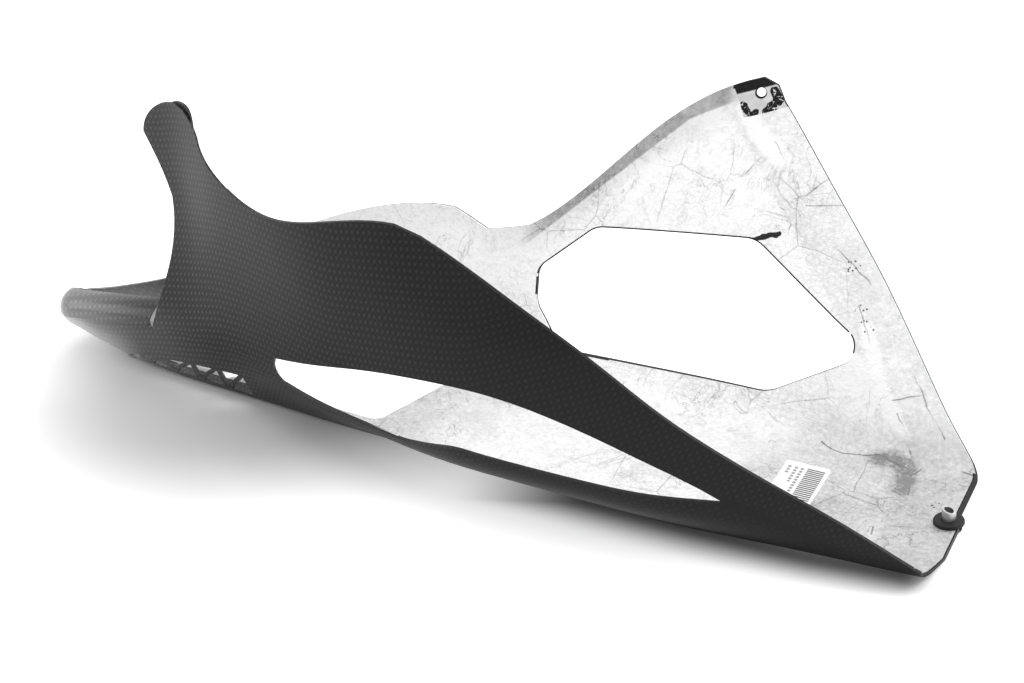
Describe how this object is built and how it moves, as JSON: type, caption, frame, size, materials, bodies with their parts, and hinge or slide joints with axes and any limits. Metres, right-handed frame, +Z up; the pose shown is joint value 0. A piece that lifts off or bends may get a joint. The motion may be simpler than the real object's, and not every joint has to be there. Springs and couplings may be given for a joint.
{
  "type": "motorcycle belly pan",
  "caption": "Moulded carbon-weave belly pan with a foil-lined trough, a side slot, a side window, truss vents and a fixing stud on its lip.",
  "frame": {"origin": "on the underside of the flat floor, under the middle of the trough", "axes": "+X runs along the pan to its open mouth, +Y goes to the side with the window, +Z goes up from the surface it rests on"},
  "size_m": [0.5699, 0.2706, 0.1848],
  "materials": {
    "carbon_weave": "clear-coated woven carbon laminate",
    "heat_foil": "crinkled bright foil",
    "black_rubber": "moulded, matt",
    "sleeve_metal": "turned, plain",
    "label_paper": "coated sticker"
  },
  "bodies": {
    "root": {"carbon_shell": "carbon_weave", "ear_doubler": "carbon_weave", "foil_strip": "heat_foil", "foil_floor": "heat_foil", "foil_near": "heat_foil", "foil_far": "heat_foil", "lip_grommet": "black_rubber", "lip_sleeve": "sleeve_metal", "stock_label": "label_paper"}
  },
  "joints": []
}
